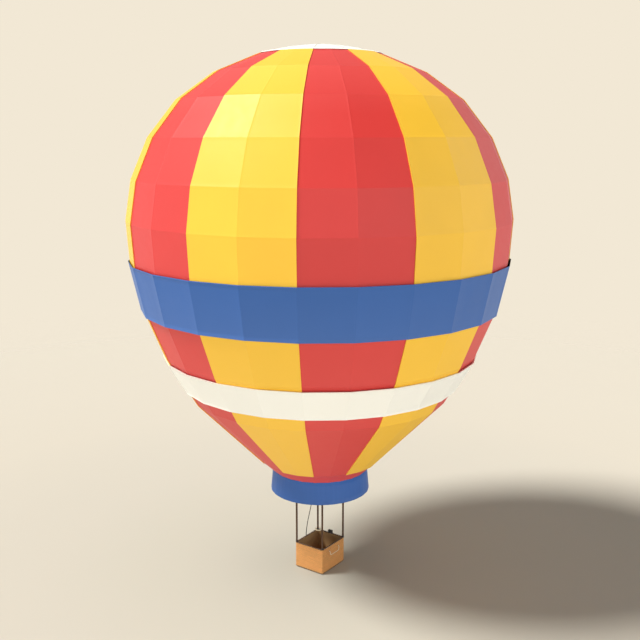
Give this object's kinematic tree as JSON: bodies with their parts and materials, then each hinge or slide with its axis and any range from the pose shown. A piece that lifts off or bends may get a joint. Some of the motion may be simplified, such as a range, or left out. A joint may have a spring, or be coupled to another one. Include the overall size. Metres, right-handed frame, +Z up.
{
  "type": "hot air balloon",
  "caption": "Full-size hot air balloon: gored envelope with a crown valve, tilting double burner on a load frame, and a woven basket on runners.",
  "frame": {"origin": "centre of the crown ring at the top of the envelope, from which the balloon hangs", "axes": "+Z up, +X along the basket's long side, -Y out of the side with the front rope handle"},
  "size_m": [15.0604, 15.0604, 21.352],
  "materials": {
    "red_fabric": "coated nylon",
    "yellow_fabric": "coated nylon",
    "blue_fabric": "coated nylon",
    "white_fabric": "coated nylon",
    "webbing": "woven tape",
    "alloy": "satin",
    "steel": "brushed",
    "padding": "matt",
    "wicker": "varnished cane",
    "rim_leather": "matt hide",
    "lining": "canvas",
    "plywood": "oiled",
    "runner_wood": "bare",
    "rope": "laid rope",
    "dark_rope": "braided line",
    "dark_case": "textured"
  },
  "bodies": {
    "balloon": {"gore_red_1": "red_fabric", "gore_red_2": "red_fabric", "gore_red_3": "red_fabric", "gore_red_4": "red_fabric", "gore_red_5": "red_fabric", "gore_red_6": "red_fabric", "mouth_band": "red_fabric", "gore_yellow_1": "yellow_fabric", "gore_yellow_2": "yellow_fabric", "gore_yellow_3": "yellow_fabric", "gore_yellow_4": "yellow_fabric", "gore_yellow_5": "yellow_fabric", "gore_yellow_6": "yellow_fabric", "blue_band_back": "blue_fabric", "blue_band_front": "blue_fabric", "skirt": "blue_fabric", "white_band_back": "white_fabric", "white_band_front": "white_fabric", "crown_tapes": "webbing", "crown_ring": "alloy", "load_frame": "alloy", "flying_wires_1": "steel", "flying_wires_2": "steel", "flying_wires_3": "steel", "flying_wires_4": "steel", "upright_1": "padding", "upright_2": "padding", "upright_3": "padding", "upright_4": "padding", "gas_cylinder_left": "padding", "gas_cylinder_right": "padding", "basket_wall": "wicker", "basket_rim": "rim_leather", "base_binding": "rim_leather", "basket_lining": "lining", "basket_floor": "plywood", "runner_1": "runner_wood", "runner_2": "runner_wood", "runner_3": "runner_wood", "rope_handle_front": "rope", "rope_handle_back": "rope", "rope_ring": "rope", "valve_line": "dark_rope", "instrument_box": "dark_case"},
    "valve": {"crown_valve": "white_fabric"},
    "gimbal": {"gimbal_frame": "alloy"},
    "burner": {"burner_beam": "alloy", "burner_can_left": "steel", "burner_can_right": "steel", "burner_coil_left": "steel", "burner_coil_right": "steel", "burner_valve_left": "steel", "burner_valve_right": "steel"}
  },
  "joints": [
    {"name": "valve_slide", "type": "slide", "parent": "balloon", "child": "valve", "axis": [0, 0, -1], "range_m": [0, 1], "stiffness_N_per_m": 150, "springref_m": -1},
    {"name": "gimbal_tilt", "type": "hinge", "parent": "balloon", "child": "gimbal", "pos_m": [0, 0, -18.184], "axis": [1, 0, 0], "range_deg": [-12, 12]},
    {"name": "burner_tilt", "type": "hinge", "parent": "gimbal", "child": "burner", "pos_m": [0, 0, -18.184], "axis": [0, 1, 0], "range_deg": [-12, 12]}
  ]
}
